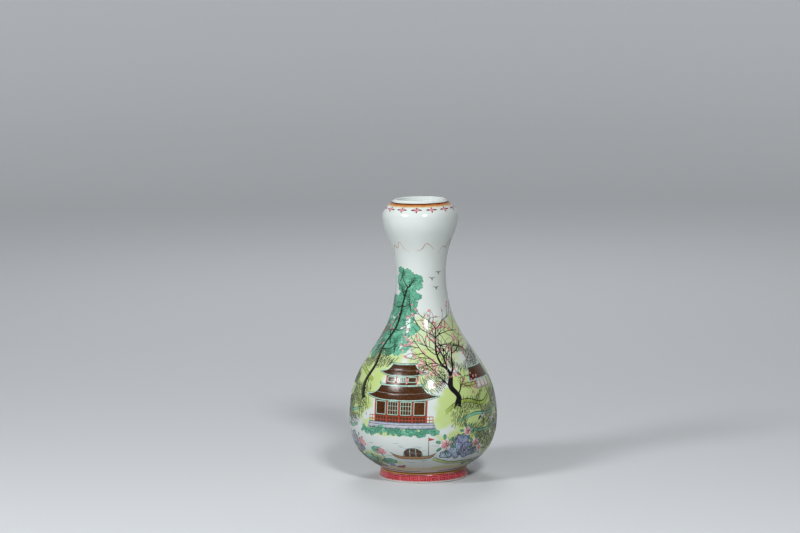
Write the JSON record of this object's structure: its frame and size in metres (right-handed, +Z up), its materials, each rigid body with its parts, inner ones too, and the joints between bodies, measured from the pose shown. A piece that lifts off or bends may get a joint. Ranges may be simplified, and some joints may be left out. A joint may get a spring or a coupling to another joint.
{
  "type": "garlic-head vase",
  "caption": "Pear-shaped porcelain bottle vase on a foot ring, with a waisted neck that swells into a garlic-bulb mouth; holds a stem of flowers.",
  "frame": {"origin": "middle of the plane that the foot ring rests on", "axes": "+Z up the vase's axis to the mouth; -Y towards the viewer of the picture, +X to the viewer's right"},
  "size_m": [0.1098, 0.1098, 0.2076],
  "materials": {
    "porcelain_clay": "unglazed, fine and matt",
    "luting_slip": "fired slip, matt",
    "white_glaze": "bluish white, very glossy",
    "red_enamel": "rose-red overglaze enamel, glossy",
    "gilding": "fired gilding, rubbed",
    "brown_enamel": "dark brown enamel line",
    "ochre_enamel": "ochre enamel band, washed at its edge"
  },
  "bodies": {
    "root": {"foot_ring": "porcelain_clay", "lower_belly": "porcelain_clay", "upper_belly": "porcelain_clay", "neck": "porcelain_clay", "garlic_head": "porcelain_clay", "foot_slip": "luting_slip", "belly_slip": "luting_slip", "shoulder_slip": "luting_slip", "head_slip": "luting_slip", "outer_glaze": "white_glaze", "inner_glaze": "white_glaze", "base_glaze": "white_glaze", "foot_red_band": "red_enamel", "foot_gilt_line": "gilding", "rim_brown_line": "brown_enamel", "rim_ochre_band": "ochre_enamel"}
  },
  "joints": []
}
